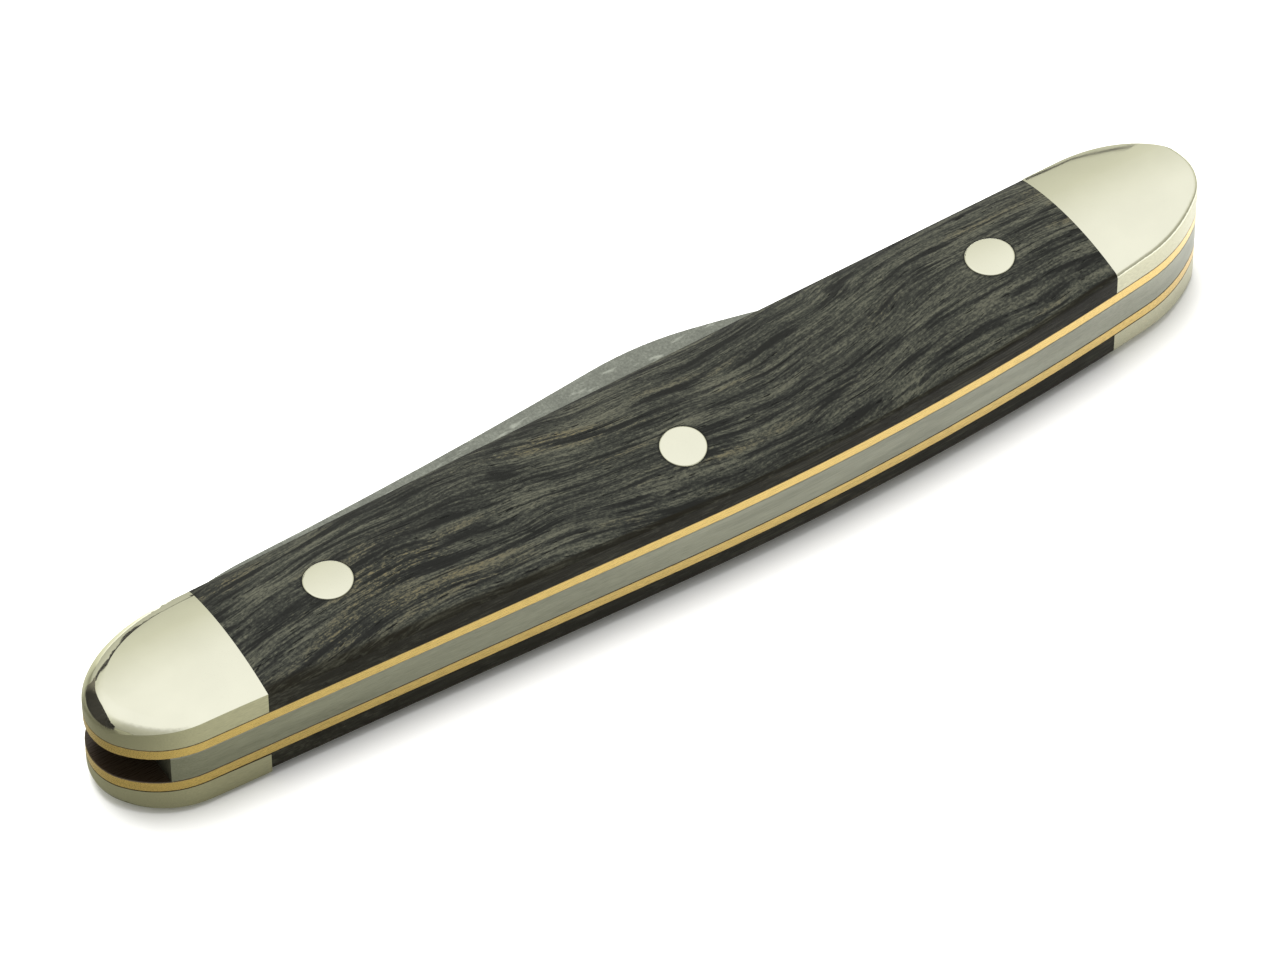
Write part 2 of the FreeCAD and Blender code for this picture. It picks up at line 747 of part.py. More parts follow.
def make_blade():
    body = doc.addObject("PartDesign::Body", "blade_body")
    bind(body, "Placement.Base.z", MIDDLE)
    pad = body.newObject("PartDesign::Pad", "blade_sheet")
    pad.Profile = blade_profile(body_sketch(body, "blade_profile", "XY_Plane", ZERO))
    pad.SideType = "Symmetric"
    bind(pad, "Length", S["blade_thickness"])

    bore = body.newObject("PartDesign::Pocket", "pivot_bore")
    bore_diameter = S["pivot_pin_diameter"] + S["pivot_clearance"] + S["pivot_clearance"]
    bore_sketch = body_sketch(body, "pivot_bore_plan", "XY_Plane", ZERO)
    bore.Profile = circle(bore_sketch, PIVOT_X, S["pivot_y"], bore_diameter)
    bore.SideType = "Symmetric"
    bore.Type = "ThroughAll"

    nick = body.newObject("PartDesign::Pocket", "nail_nick")
    mark_side = S["blade_thickness"] * -HALF
    nick.Profile = nick_plan(body_sketch(body, "nick_plan", "XY_Plane", mark_side))
    nick.Reversed = True
    bind(nick, "Length", S["nick_depth"])

    run = TIP_X - CHOIL_X
    sections = []
    for number, (station, rise) in enumerate(zip(STATION_SHARES, EDGE_RISE_SHARES)):
        sketch = body_sketch(body, f"bevel_{number}", "YZ_Plane", CHOIL_X + run * station)
        sections.append(bevel_section(sketch, rise))
    bevel = body.newObject("PartDesign::SubtractiveLoft", "bevel")
    bevel.Profile = sections[0]
    bevel.Sections = sections[1:]
    doc.recompute()
    other = body.newObject("PartDesign::Mirrored", "other_bevel")
    other.Originals = [bevel]
    plane = next(item for item in body.Origin.OriginFeatures if item.Role == "XY_Plane")
    other.MirrorPlane = (plane, [""])
    body.Tip = other
    return body


def nick_plan(sketch):
    """Crescent with its straight side towards the edge."""
    outline = Outline(sketch)
    half = S["nick_length"] * HALF
    left, right = NICK_X - half, NICK_X + half
    places = [point(x.value, S["nick_y"].value) for x in (left, right)]
    base = outline.line(*places)
    outline.arc(places[1], places[0], S["nick_radius"])
    outline.close(sharp=(0, 1))
    outline.hold("Horizontal", base)
    outline.at_x(base, START, left)
    outline.at_x(base, END, right)
    outline.at_y(base, START, S["nick_y"])
    return sketch


node(make_blade(), "blade")


# Checking and writing.

def write_parts():
    doc.recompute()
    failed = [item.Label for item in doc.Objects if {"Invalid", "Error"} & set(item.State)]
    if failed:
        raise RuntimeError("failed features: " + ", ".join(failed))
    os.makedirs("parts", exist_ok=True)
    for piece in NODES:
        if piece.Shape.isNull() or not piece.Shape.isValid() or piece.Shape.Volume <= 0:
            raise RuntimeError("bad shape: " + piece.Label)
    for piece in NODES:
        piece.Shape.exportStep(f"parts/{piece.Label}.step")
        box = piece.Shape.BoundBox
        print(piece.Label, len(piece.Shape.Solids), round(piece.Shape.Volume, 2), box)


write_parts()
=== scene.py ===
import math

import bpy
from bpy.props import FloatProperty, FloatVectorProperty, PointerProperty
from mathutils import Matrix, Vector


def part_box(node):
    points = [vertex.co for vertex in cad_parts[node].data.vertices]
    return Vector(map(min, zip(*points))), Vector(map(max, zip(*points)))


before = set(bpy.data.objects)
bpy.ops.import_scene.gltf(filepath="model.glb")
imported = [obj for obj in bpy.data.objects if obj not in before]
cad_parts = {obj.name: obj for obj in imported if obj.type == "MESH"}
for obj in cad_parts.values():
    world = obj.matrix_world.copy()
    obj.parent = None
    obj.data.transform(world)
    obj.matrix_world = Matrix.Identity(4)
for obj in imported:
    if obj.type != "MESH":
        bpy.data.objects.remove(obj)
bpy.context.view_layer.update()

bl_info = {
    "name": "Pocket Knife Finishes",
    "version": (1, 0, 0),
    "blender": (4, 5, 0),
    "location": "View3D > Sidebar > Pocket Knife",
    "description": "Gives a slip-joint pocket knife its metals and wood, and sets it on a studio floor",
    "category": "Object",
}

MM = 0.001
PER_MM = 1.0 / MM
FULL_TURN = 2.0 * math.pi
UP = Vector((0.0, 0.0, 1.0))
WHITE = (1.0, 1.0, 1.0)

# The pieces, by the names of their nodes.

UPPER_AND_LOWER = ("upper", "lower")


def sides(*names):
    """Node names of pieces that come as an upper and a lower one."""
    return [f"{side}_{name}" for name in names for side in UPPER_AND_LOWER]


LINERS = sides("liner")
SCALES = sides("scale")
BOLSTERS = sides("front_bolster", "rear_bolster")
HEADED_PINS = ["centre_pin"] + sides("front_rivet", "rear_rivet")
HIDDEN_PINS = ["pivot_pin", "rear_pin"]

# Values of the finishes.

# The range in which most values of a noise lie.
NOISE_RANGE = (0.3, 0.7)
# Layers of noise: cells to a millimetre along X, Y and Z, then detail and roughness.
WOOD_DRIFT = ((0.06, 0.12, 0.12), 2.0, 0.5)
WOOD_LAYERS = {
    "cloud": ((0.14, 0.35, 0.35), 1.0, 0.5),
    "streak": ((0.15, 2.0, 2.0), 3.0, 0.55),
    "line": ((0.26, 6.5, 6.5), 2.0, 0.5),
    "fleck": ((3.4, 8.5, 8.5), 3.0, 0.75),
    "patch": ((0.07, 0.4, 0.4), 2.0, 0.5),
    "pore": ((0.8, 6.0, 6.0), 2.0, 0.5),
    "crack": ((0.16, 5.0, 5.0), 2.0, 0.5),
}
NICKEL_SCRATCHES = ((1.2, 26.0, 26.0), 3.0, 0.5)
NICKEL_CLOUDS = ((0.35, 0.35, 0.35), 2.0, 0.5)
BRASS_LINES = ((0.8, 20.0, 24.0), 3.0, 0.5)
SPRING_LINES = ((0.5, 18.0, 22.0), 4.0, 0.6)
SPRING_CLOUDS = ((0.08, 0.8, 0.8), 2.0, 0.5)
BLADE_GRIND = ((22.0, 0.7, 0.7), 3.0, 0.5)
BLADE_SPECKS = ((5.0, 5.0, 5.0), 5.0, 0.75)
BLADE_CLOUDS = ((0.5, 0.5, 0.5), 2.0, 0.5)
BLADE_CHIPS = ((0.45, 1.7, 1.7), 4.0, 0.65)
FLOOR_SPECKLE = ((0.4, 0.4, 0.4), 3.0, 0.5)
# The wood's broad bands have a width that a user sets, so only the rest of their layer is here.
BAND_CELLS_ALONG = 0.07
BAND_DETAIL = 2.0
BAND_ROUGHNESS = 0.4
# How far the drift moves the wood's grain to each side.
WOOD_DRIFT_MM = 0.7

# What the layers add to the wood's tone: a range of the noise, and the shares at its two ends.
WOOD_TONE = 0.555
WOOD_TONE_SHARES = (
    ("band", NOISE_RANGE, (-0.09, 0.09)),
    ("cloud", NOISE_RANGE, (-0.07, 0.07)),
    ("streak", (0.35, 0.49), (-0.36, 0.0)),
    ("streak", (0.55, 0.72), (0.0, 0.07)),
    ("line", NOISE_RANGE, (-0.13, 0.13)),
    ("fleck", NOISE_RANGE, (-0.19, 0.19)),
)
# Places along the wood's tone of its darkest, dark, grey and light colours.
WOOD_TONE_STOPS = (0.20, 0.38, 0.55, 0.80)
# Ranges of noise over which the wood's brown patches, pores and cracks come in.
PATCH_RANGE = (0.55, 0.69)
PORE_RANGE = (0.65, 0.70)
CRACK_RANGE = (0.66, 0.74)
# A patch is brown in light tones and in flecks, with a share of its brown left between the flecks.
WARM_TONES = (0.52, 0.75)
WARM_FLECKS = (0.40, 0.60)
WARM_FLECK_SHARE = 0.35
# The dark line in the wood round each pin: its width, and how strong it is.
PIN_RIM_MM = 0.16
PIN_RIM_SHARE = 0.8

# Ranges of a face's direction over which the scales' painted wall shade and edge highlight come in, as shares
# of its normal.
WALL_SHADE_UPRIGHT = (0.96, 0.86)
SPRING_SIDE_ACROSS = (0.2, -0.2)
RUBBED_AND_HIGHLIGHT_ACROSS = (0.55, 0.75)
# The scales' walls get painted shade, strongest on the spring's side, in stripes like sanding marks.
# The blade-side edge gets a painted pale highlight, and is smoothed by rubbing.
WALL_SHADE_BLADE_SIDE_SHARE = 0.25
WALL_SHADE_LINES = (0.35, 0.65)
WALL_SHADE_LINE_SHARE = 0.62
RIM_HIGHLIGHT_SHARE = 0.7
RUBBED_ROUGHNESS = -0.2

# Ranges of a face's direction for the bolsters' walls, and for the painted dark reflection on their
# spring-side edge.
WALL_UPRIGHT = (0.45, 0.25)
ARRIS_UPPER_UPRIGHT = (0.84, 0.74)
ARRIS_LOWER_UPRIGHT = (0.35, 0.50)
ARRIS_ACROSS = (-0.25, -0.45)
ARRIS_REFLECTION_SHARE = 0.3
# Range of noise over which the walls' scratches get darker.
WALL_SCRATCHES = (0.35, 0.65)
# The gap between the lower front bolster and its liner: its length, and the range over which it fades.
WEDGE_MM = 6.0
WEDGE_FADE = (0.7, 1.0)
# The dark seam along a liner's edges is at its darkest over this share of its width.
SEAM_FULL_SHARE = 1.0 / 3.0
# The blade: its flats by their direction, its bright chips by their noise, and the specks that roughen it.
FLAT_UPRIGHT = (0.982, 0.994)
CHIP_RANGE = (0.58, 0.68)
BLADE_ROUGH_SPECKS = (0.2, 0.7)
# How far broad clouds shift the tone of the spring and of the blade.
SPRING_CLOUD_SHARE = 0.12
BLADE_CLOUD_SHARE = 0.06

# How bright a finish's own colour is in its darker or brighter places.
DARKEST_WOOD_SHADE = 0.65
PORE_SHADE = 0.3
# Next: the colour of the painted shade on the scales' walls.
PAINTED_WALL_SHADE = 0.07
NICKEL_CLOUD_SHADE = 0.96
SCRATCH_SHADE = 0.84
CHIP_SHADE = 1.8
FLOOR_SPECKLE_SHADE = 0.995
# The same along a noise: places in its range, and shades.
BRASS_SHADES = ((0.3, 0.80), (0.5, 1.0), (0.7, 1.1))
SPRING_SHADES = ((0.25, 0.72), (0.5, 1.0), (0.75, 1.25))
FLAT_SHADES = ((0.35, 0.75), (0.52, 1.0), (0.68, 1.35))
BEVEL_SHADES = ((0.3, 1.15), (0.7, 1.5))

# Least and most roughness of the finishes, and other values of their shaders.
WOOD_ROUGHNESS = (0.48, 0.64)
POLISH_ROUGHNESS = (0.04, 0.08)
SATIN_ROUGHNESS = (0.26, 0.42)
BRASS_ROUGHNESS = (0.22, 0.36)
SPRING_ROUGHNESS = (0.34, 0.50)
BLADE_ROUGHNESS = (0.22, 0.46)
MATT_ROUGHNESS = 0.9
OILED_SPECULAR = 0.12
SPRING_ANISOTROPY = 0.5
SEAM_METALLIC = 0.2
# Depth in millimetres and strength of each finish's fine relief.
WOOD_RELIEF = (0.03, 0.6)
NICKEL_RELIEF = (0.006, 0.5)
BRASS_RELIEF = (0.004, 0.5)
SPRING_RELIEF = (0.006, 0.5)
BLADE_RELIEF = (0.008, 0.4)
# Shares of that depth: the wood's flecks, the bolsters' walls and crowns, and the blade's grinding lines.
FLECK_DEPTH_SHARE = 0.4
WALL_DEPTH_SHARE = 0.9
CROWN_DEPTH_SHARE = 0.03
GRIND_DEPTH_SHARE = 0.5

# Values of the stage.

# The photograph's width in pixels, Blender's own sensor width, and how far the camera sees in metres.
PHOTO_WIDTH = 1280
SENSOR_WIDTH_MM = 36.0
CAMERA_REACH = 100.0
# The white tent: heights of its directions, levels and shares of blue. Faces that scatter light see its front
# dimmer, over a range of directions along Y, and the camera sees one pale colour.
TENT_STOPS = (
    (0.0, 0.50, 0.86), (0.24, 0.60, 0.86), (0.47, 0.71, 0.88), (0.78, 0.965, 0.985), (0.94, 1.0, 1.0),
)
TENT_FRONT_RANGE = (-0.7, 0.0)
TENT_FRONT_LEVEL = 0.45
TENT_TO_CAMERA = (0.95, 0.95, 0.95)
# The soft box over the knife: its place and side in metres.
LIGHT_PLACE = (0.02, 0.17, 0.72)
LIGHT_SIZE = 0.45
# How bright the knife's faces mirror the floor, as painted shade: places along X, level and share of blue.
REFLECTED_SHADE_MM = ((-110, 0.30, 0.78), (-50, 0.17, 0.78), (-39, 0.46, 0.80), (0, 0.74, 0.92), (50, 0.98, 1.0))

# Dark cards that the front bolsters mirror as thin lines along their rounded edge, by their directions in
# degrees: the turn from +X, then the lower and upper heights above the horizon.
CARD_DISTANCE_MM = 600.0
LINE_CARDS = {
    "line_card": ((76, 23, 29), (84, 18, 23), (91, 14, 20), (97, 10, 19)),
    "edge_card": ((70, 10, 16), (73, 10, 16), (73.2, 10, 28), (76.5, 10, 28)),
}
# Dark card bent round the pivot, close to the nose: the turn from +X in degrees, then the heights of its
# lower and upper edges.
NOSE_CARD_RADIUS_MM = 10.0
NOSE_CARD_MM = (
    (124, 10.7, 11.7), (130, 9.8, 12.2), (137, 7.5, 13.0), (145, 7.0, 14.0), (160, 7.0, 14.5),
    (170, 7.0, 14.3), (177, 7.0, 13.5), (185, 7.0, 12.5), (193, 7.0, 11.0), (203, 7.0, 9.0),
)
# Dark strip behind the knife, whose mirror is a thin line on the rear bolster: places along X and heights.
STRIP_BACK_MM = 100.0
REAR_STRIP_MM = ((73, 31), (79, 33), (81, 38), (84, 46), (88, 57))
REAR_STRIP_HALF_MM = 1.0
# Colours of the cards, and where the nose card fades from one to the other along Y.
CARD_DARK = (0.046, 0.043, 0.044)
CARD_GREY = (0.32, 0.30, 0.27)
NOSE_FADE_MM = (6.5, 9.2)


# Settings that a user would change.

def colour(name, description, default):
    return FloatVectorProperty(
        name=name, description=description, default=default,
        size=3, min=0.0, max=1.0, subtype="COLOR")


class WoodSettings(bpy.types.PropertyGroup):
    """Colours and grain of the dark wood scales."""

    dark: colour("Dark wood", "The dark streaks", (0.0140, 0.0146, 0.0128))
    mid: colour("Grey wood", "The wood's commonest grey", (0.0298, 0.0314, 0.0252))
    light: colour("Flecks", "The lightest olive flecks", (0.083, 0.083, 0.061))
    warm: colour("Warm patches", "Brown that shows in patches", (0.118, 0.100, 0.054))
    band: FloatProperty(
        name="Band width", description="Width of the broad bands across the grain, in millimetres",
        default=1.1)
    wave: FloatProperty(
        name="Wave length", description="Length of one wave of the grain, in millimetres", default=52.0)
    wave_start: FloatProperty(
        name="Wave start", description="Where a wave of the grain starts along the knife, in millimetres",
        default=-7.5)
    swing: FloatProperty(
        name="Wave height", description="How far the grain swings to each side, in millimetres", default=1.5)
    # Strength of the painted shade on the scales' walls.
    wall_shade: FloatProperty(
        name="Burnish", description="How much darker the sanded edges of the scales are",
        default=0.95, min=0.0, max=1.0, subtype="FACTOR")


class MetalSettings(bpy.types.PropertyGroup):
    """Colours of the metals, and widths of their dark seams."""

    nickel: colour("Nickel silver", "Bolsters and pins", (0.80, 0.793, 0.645))
    # Darker than the nickel: painted shade on the bolsters' walls, on top of their brushed lines.
    satin_and_shade: colour("Satin walls", "Ground walls of the bolsters", (0.52, 0.506, 0.375))
    brass: colour("Brass", "Liners", (0.67, 0.48, 0.175))
    spring: colour("Spring steel", "Brushed backspring", (0.265, 0.27, 0.225))
    blade: colour("Blade steel", "Tumbled flats of the blade", (0.252, 0.264, 0.228))
    # Also the colour of the painted dark reflection on the metal's spring-side edge.
    seam_and_reflection: colour("Seam", "Dark line where two layers meet", (0.030, 0.020, 0.012))
    seam: FloatProperty(
        name="Seam width", description="How far the dark line reaches onto a layer",
        default=0.10 * MM, unit="LENGTH")
    wedge: FloatProperty(
        name="Wedge", description="Widest gap between the lower front bolster and its liner",
        default=0.14 * MM, unit="LENGTH")


class StudioSettings(bpy.types.PropertyGroup):
    """Camera, light and floor."""

    azimuth: FloatProperty(
        name="Azimuth", description="Where the camera stands round the knife",
        default=math.radians(-32.326), subtype="ANGLE")
    elevation: FloatProperty(
        name="Elevation", description="How high the camera stands above the floor",
        default=math.radians(51.08), subtype="ANGLE")
    roll: FloatProperty(
        name="Roll", description="How far the camera leans", default=math.radians(-0.269), subtype="ANGLE")
    distance: FloatProperty(
        name="Distance", description="From the camera to the knife", default=0.6316, unit="LENGTH")
    pixels_per_mm: FloatProperty(
        name="Scale", description="Pixels of the picture to one millimetre of the knife", default=14.748)
    right: FloatProperty(
        name="Aim right", description="How far right of the knife's middle the camera aims",
        default=-0.763 * MM, unit="LENGTH")
    up: FloatProperty(
        name="Aim up", description="How far above the knife's middle the camera aims",
        default=-0.475 * MM, unit="LENGTH")
    light: FloatProperty(
        name="Soft box", description="Power of the light over the knife", default=7.4, unit="POWER")
    tent: FloatProperty(
        name="Tent", description="Brightness of the white tent round the knife", default=1.12)
    floor: colour("Floor", "Pale studio floor", (0.93, 0.93, 0.93))
    floor_size: FloatProperty(
        name="Floor size", description="Side of the floor", default=6.0, unit="LENGTH")


# Materials and the tent are built from small graphs of nodes.

class Graph:
    """A tree of shader nodes, which are added one by one."""

    def __init__(self, tree):
        self.nodes = tree.nodes
        self.links = tree.links

    def add(self, kind, inputs=None, **settings):
        node = self.nodes.new(kind)
        for key, value in settings.items():
            setattr(node, key, value)
        for key, value in (inputs or {}).items():
            self.feed(node, key, value)
        return node

    def feed(self, node, key, value):
        """Set an input to a plain value, or link a socket to it."""
        if isinstance(value, bpy.types.NodeSocket):
            self.links.new(value, node.inputs[key])
        else:
            node.inputs[key].default_value = value

    def vector(self, operation, *values):
        return self.add("ShaderNodeVectorMath", dict(enumerate(values)), operation=operation).outputs

    def math(self, operation, *values):
        return self.add("ShaderNodeMath", dict(enumerate(values)), operation=operation).outputs[0]

    def split(self, vector):
        return self.add("ShaderNodeSeparateXYZ", {0: vector}).outputs

    def join(self, x, y, z):
        return self.add("ShaderNodeCombineXYZ", {0: x, 1: y, 2: z}).outputs[0]

    def noise(self, place, cells, detail, roughness):
        """A layer of noise with so many cells to a millimetre along each axis."""
        stretched = self.vector("MULTIPLY", place, cells)[0]
        inputs = {"Vector": stretched, "Scale": 1.0, "Detail": detail, "Roughness": roughness}
        return self.add("ShaderNodeTexNoise", inputs).outputs["Fac"]

    def remap(self, value, low, high, to_low=0.0, to_high=1.0):
        inputs = {"Value": value, 1: low, 2: high, 3: to_low, 4: to_high}
        return self.add("ShaderNodeMapRange", inputs).outputs[0]

    def spread(self, noise, to_low=0.0, to_high=1.0):
        """Stretch the usual range of a noise to two values."""
        return self.remap(noise, *NOISE_RANGE, to_low, to_high)

    def ramp(self, value, stops):
        node = self.add("ShaderNodeValToRGB", {0: value})
        points = node.color_ramp.elements
        while len(points) < len(stops):
            points.new(1.0)
        for point, (position, rgb) in zip(points, stops):
            point.position = position
            point.color = (*rgb, 1.0)
        return node.outputs[0]

    def shades(self, value, rgb, stops):
        """Ramp between shades of one colour."""
        return self.ramp(value, [(position, shaded(rgb, factor)) for position, factor in stops])

    def blend(self, amount, first, second, mode="MIX"):
        node = self.add("ShaderNodeMix", data_type="RGBA", blend_type=mode)
        for key, value in ((0, amount), (6, first), (7, second)):
            plain = key and not isinstance(value, bpy.types.NodeSocket)
            self.feed(node, key, (*value, 1.0) if plain else value)
        return node.outputs[2]


class Finish(Graph):
    """A material whose graph ends in one Principled shader."""

    def __init__(self, name):
        self.material = bpy.data.materials.new(name)
        self.material.use_nodes = True
        super().__init__(self.material.node_tree)
        self.shader = self.nodes["Principled BSDF"]

    def place(self):
        """Position on the piece, in millimetres of the part's own frame."""
        where = self.add("ShaderNodeTexCoord").outputs["Object"]
        return self.vector("MULTIPLY", where, (PER_MM,) * 3)[0]

    def facing(self):
        """The surface's direction across the knife, along +Y, and how upright it is, up or down alike."""
        normal = self.split(self.add("ShaderNodeTexCoord").outputs["Normal"])
        return normal[1], self.math("ABSOLUTE", normal[2])

    def bump(self, height, depth_mm, strength):
        inputs = {"Height": height, "Distance": depth_mm * MM, "Strength": strength}
        return self.add("ShaderNodeBump", inputs).outputs[0]

    def surface(self, **inputs):
        for key, value in inputs.items():
            self.feed(self.shader, key.replace("_", " "), value)
        return self.material


def shaded(rgb, factor):
    """A colour made darker or brighter."""
    return tuple(min(1.0, channel * factor) for channel in rgb)


def tinted(rgb, factor, blue):
    """A colour made darker, with its blue cut further to warm it."""
    red, green, last = shaded(rgb, factor)
    return red, green, last * blue


def middle_of(box):
    """Centre of a box that is given by two corners."""
    low, high = (Vector(corner) for corner in box)
    return (low + high) / 2.0


# Wood.

def pin_rims(wood, place):
    """How near a place is to the rim of a pin's head, from far (0) to touching (1)."""
    flat = wood.vector("MULTIPLY", place, (1.0, 1.0, 0.0))[0]
    nearest = None
    for name in HEADED_PINS:
        low, high = (Vector(corner) * PER_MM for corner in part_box(name))
        centre = ((low.x + high.x) / 2.0, (low.y + high.y) / 2.0, 0.0)
        radius = (high.x - low.x) / 2.0
        distance = wood.vector("DISTANCE", flat, centre)["Value"]
        rim = wood.remap(distance, radius, radius + PIN_RIM_MM, 1.0, 0.0)
        nearest = wood.math("MAXIMUM", nearest, rim) if nearest else rim
    return nearest


def wavy(wood, settings, place):
    """Bend places in the wood, so that grain along X swings from side to side."""
    x, y, z = wood.split(place)
    phase = wood.math("MULTIPLY", wood.math("SUBTRACT", x, settings.wave_start), FULL_TURN / settings.wave)
    swing = wood.math("MULTIPLY", wood.math("SINE", phase), settings.swing)
    drift = wood.spread(wood.noise(place, *WOOD_DRIFT), -WOOD_DRIFT_MM, WOOD_DRIFT_MM)
    return wood.join(x, wood.math("ADD", y, wood.math("ADD", swing, drift)), z)


def grain_colour(wood, settings, layers):
    """Charcoal to olive by the layers' tone, with brown patches."""
    tone = WOOD_TONE
    for name, noise_range, shares in WOOD_TONE_SHARES:
        tone = wood.math("ADD", tone, wood.remap(layers[name], *noise_range, *shares))
    colours = (shaded(settings.dark, DARKEST_WOOD_SHADE), settings.dark, settings.mid, settings.light)
    grey = wood.ramp(tone, list(zip(WOOD_TONE_STOPS, colours)))
    flecks = wood.remap(layers["fleck"], *WARM_FLECKS, WARM_FLECK_SHARE, 1.0)
    mottle = wood.math("MULTIPLY", wood.remap(tone, *WARM_TONES), flecks)
    warmth = wood.math("MULTIPLY", wood.remap(layers["patch"], *PATCH_RANGE), mottle)
    return wood.blend(warmth, grey, settings.warm)


def sanded_and_shaded(wood, settings, line, across, upright):
    """How dark the painted shade on the scales' walls is: most on the spring's side, in stripes like sanding
    marks.
    """
    striped_shade = wood.remap(line, *WALL_SHADE_LINES, settings.wall_shade, settings.wall_shade * WALL_SHADE_LINE_SHARE)
    side = wood.remap(across, *SPRING_SIDE_ACROSS, WALL_SHADE_BLADE_SIDE_SHARE, 1.0)
    edge = wood.math("MULTIPLY", wood.remap(upright, *WALL_SHADE_UPRIGHT), side)
    return wood.math("MULTIPLY", edge, striped_shade)


def dark_wood(settings):
    """Wavy charcoal wood: olive streaks, brown patches, short open pores, painted wall shade and edge
    highlight.
    """
    wood = Finish("dark_wood_oiled")
    place = wood.place()
    along = wavy(wood, settings, place)
    layers = {name: wood.noise(along, *layer) for name, layer in WOOD_LAYERS.items()}
    band_cells = (BAND_CELLS_ALONG, 1.0 / settings.band, 1.0 / settings.band)
    layers["band"] = wood.noise(along, band_cells, BAND_DETAIL, BAND_ROUGHNESS)
    across, upright = wood.facing()

    pore = wood.remap(layers["pore"], *PORE_RANGE)
    crack = wood.remap(layers["crack"], *CRACK_RANGE)
    open_grain = wood.math("MAXIMUM", pore, crack)
    rims = wood.math("MULTIPLY", pin_rims(wood, place), PIN_RIM_SHARE)
    dark = wood.math("MAXIMUM", open_grain, rims)
    coloured = wood.blend(dark, grain_colour(wood, settings, layers), shaded(settings.dark, PORE_SHADE))
    # Painted shade darkens the scales' walls, most on the spring's side.
    wall_shade = sanded_and_shaded(wood, settings, layers["line"], across, upright)
    wall_shaded = wood.blend(wall_shade, coloured, shaded(settings.warm, PAINTED_WALL_SHADE))

    # A painted highlight makes the blade-side edge paler; that edge is also smoothed.
    rubbed_and_highlight = wood.remap(across, *RUBBED_AND_HIGHLIGHT_ACROSS)
    polish = wood.math("MULTIPLY", rubbed_and_highlight, RUBBED_ROUGHNESS)
    height = wood.math("SUBTRACT", wood.math("MULTIPLY", layers["fleck"], FLECK_DEPTH_SHARE), open_grain)
    return wood.surface(
        Base_Color=wood.blend(wood.math("MULTIPLY", rubbed_and_highlight, RIM_HIGHLIGHT_SHARE), wall_shaded, settings.light),
        Roughness=wood.math("ADD", wood.spread(layers["fleck"], *WOOD_ROUGHNESS), polish),
        Specular_IOR_Level=OILED_SPECULAR,
        Normal=wood.bump(height, *WOOD_RELIEF))


# Metals.

def liner_seam(metal, settings, place):
    """Dark line where a bolster meets its liner, opening to a wedge under the front one."""
    where = metal.split(place)
    x, z = where[0], where[2]
    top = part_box("upper_liner")[1][2] * PER_MM
    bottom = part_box("lower_liner")[0][2] * PER_MM
    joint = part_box("lower_front_bolster")[1][0] * PER_MM
    reach = settings.seam * PER_MM / 2.0
    above = metal.remap(metal.math("SUBTRACT", z, top), reach / 2.0, reach, 1.0, 0.0)
    upper = metal.math("MULTIPLY", above, metal.math("GREATER_THAN", z, top))
    gap = metal.remap(x, joint - WEDGE_MM, joint, reach, settings.wedge * PER_MM)
    wedge = metal.math("MULTIPLY", gap, metal.math("LESS_THAN", x, joint))
    depth = metal.math("DIVIDE", metal.math("SUBTRACT", bottom, z), metal.math("MAXIMUM", wedge, reach))
    below = metal.remap(depth, *WEDGE_FADE, 1.0, 0.0)
    lower = metal.math("MULTIPLY", below, metal.math("LESS_THAN", z, bottom))
    return metal.math("MAXIMUM", upper, lower)


def nickel_silver(settings, name, satin_walls):
    """Polished crown; where asked, lengthwise-lined walls with painted shade; a painted dark reflection on
    one edge.
    """
    metal = Finish(name)
    place = metal.place()
    across, upright = metal.facing()
    scratch = metal.noise(place, *NICKEL_SCRATCHES)
    cloud = metal.noise(place, *NICKEL_CLOUDS)
    wall = metal.remap(upright, *WALL_UPRIGHT) if satin_walls else 0.0
    tone = metal.blend(metal.spread(cloud), settings.nickel, shaded(settings.nickel, NICKEL_CLOUD_SHADE))
    if satin_walls:
        lines = metal.remap(scratch, *WALL_SCRATCHES)
        # Painted shade: the walls are coloured darker than the crown.
        ground_and_shade = metal.blend(lines, settings.satin_and_shade, shaded(settings.satin_and_shade, SCRATCH_SHADE))
        tone = metal.blend(wall, tone, ground_and_shade)
    # Painted reflection: a dark line where crown meets wall on the spring's side.
    upper_flank = metal.remap(upright, *ARRIS_UPPER_UPRIGHT)
    lower_flank = metal.remap(upright, *ARRIS_LOWER_UPRIGHT)
    arris = metal.math("MULTIPLY", upper_flank, lower_flank)
    arris_reflection = metal.math("MULTIPLY", arris, metal.remap(across, *ARRIS_ACROSS))
    tone = metal.blend(metal.math("MULTIPLY", arris_reflection, ARRIS_REFLECTION_SHARE), tone, settings.seam_and_reflection)
    if satin_walls:
        tone = metal.blend(liner_seam(metal, settings, place), tone, settings.seam_and_reflection)
    satin_and_shade = metal.math("MULTIPLY", wall, metal.spread(scratch, *SATIN_ROUGHNESS))
    depth = metal.math("ADD", metal.math("MULTIPLY", wall, WALL_DEPTH_SHARE), CROWN_DEPTH_SHARE)
    return metal.surface(
        Base_Color=tone,
        Metallic=1.0,
        Roughness=metal.math("ADD", metal.spread(cloud, *POLISH_ROUGHNESS), satin_and_shade),
        Normal=metal.bump(metal.math("MULTIPLY", scratch, depth), *NICKEL_RELIEF))


